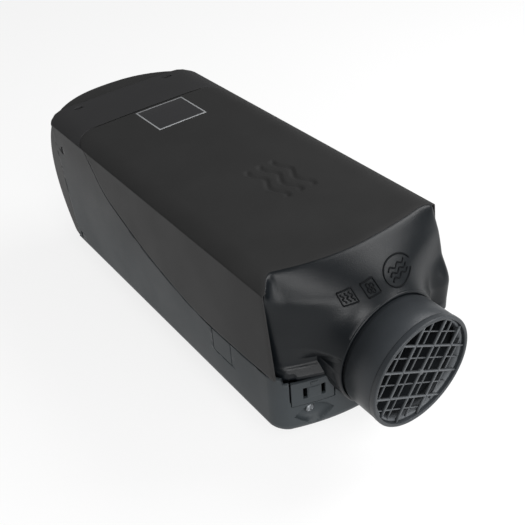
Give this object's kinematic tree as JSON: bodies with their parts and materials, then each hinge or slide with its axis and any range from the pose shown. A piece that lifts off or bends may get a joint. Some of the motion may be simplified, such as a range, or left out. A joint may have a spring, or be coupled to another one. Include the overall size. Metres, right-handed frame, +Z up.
{
  "type": "diesel air heater",
  "caption": "Fuel-burning cabin air heater: oblong moulded casing, domed slotted intake, hooded front with a round duct nozzle and grille, mounting flange with stubs and studs below.",
  "frame": {"origin": "middle of the flat mounting face, the underside of the flange gasket; stubs and studs hang below it", "axes": "+Z up, warm air leaves towards -Y, cold air comes in from +Y, +X is on the right seen from the outlet"},
  "size_m": [0.1448, 0.3871, 0.1535],
  "materials": {
    "black_plastic": "fine matt grain",
    "hood_plastic": "satin, fine grain",
    "fan_plastic": "glass-filled nylon, satin",
    "cast_aluminium": "as cast",
    "steel": "zinc plated or bare stainless",
    "magnet": "sintered",
    "rubber": "moulded",
    "socket_plastic": "moulded"
  },
  "bodies": {
    "heater_body": {"lower_casing": "black_plastic", "front_screw": "steel", "upper_cover": "black_plastic", "outlet_hood": "hood_plastic", "outlet_nozzle": "hood_plastic", "outlet_grille": "hood_plastic", "rear_intake_grille": "black_plastic", "flange_gasket": "rubber", "heat_exchanger": "cast_aluminium", "exhaust_stub": "steel", "combustion_air_stub": "cast_aluminium", "fuel_stub": "steel", "mounting_stud_1": "steel", "mounting_stud_2": "steel", "mounting_stud_3": "steel", "mounting_stud_4": "steel", "overheat_sensor": "steel", "sensor_clip": "steel", "combustion_chamber": "steel", "evaporator_screen": "steel", "burner_gasket": "rubber", "glow_plug": "steel", "blower_housing": "cast_aluminium", "blower_cover": "cast_aluminium", "blower_screw_1": "steel", "blower_screw_2": "steel", "blower_screw_3": "steel", "blower_screw_4": "steel", "motor_can": "steel", "motor_end_cap": "fan_plastic", "front_bearing": "steel", "rear_bearing": "steel", "stator_core": "steel", "fan_shroud": "fan_plastic", "control_unit_bracket": "steel", "control_unit": "fan_plastic", "control_unit_socket": "socket_plastic", "cable_grommet": "rubber"},
    "rotor": {"motor_shaft": "steel", "rotor_magnet": "magnet", "combustion_impeller": "fan_plastic", "hot_air_impeller": "fan_plastic", "impeller_nut": "steel"},
    "front_latch_tongue": {"front_latch": "black_plastic"},
    "left_tab": {"left_release_tab": "black_plastic"},
    "right_tab": {"right_release_tab": "black_plastic"}
  },
  "joints": [
    {"name": "rotor_spin", "type": "hinge", "parent": "heater_body", "child": "rotor", "pos_m": [0, 0.1, 0.062], "axis": [0, 1, 0], "continuous": true},
    {"name": "front_latch_flex", "type": "hinge", "parent": "heater_body", "child": "front_latch_tongue", "pos_m": [-0.0485, -0.1315, 0.0333], "axis": [1, 0, 0], "range_deg": [0, 5], "stiffness_Nm_per_rad": 2},
    {"name": "left_tab_flex", "type": "hinge", "parent": "heater_body", "child": "left_tab", "pos_m": [-0.0711, -0.0615, 0.0363], "axis": [0, -1, 0], "range_deg": [0, 6], "stiffness_Nm_per_rad": 2},
    {"name": "right_tab_flex", "type": "hinge", "parent": "heater_body", "child": "right_tab", "pos_m": [0.0711, -0.0615, 0.0363], "axis": [0, 1, 0], "range_deg": [0, 6], "stiffness_Nm_per_rad": 2}
  ]
}
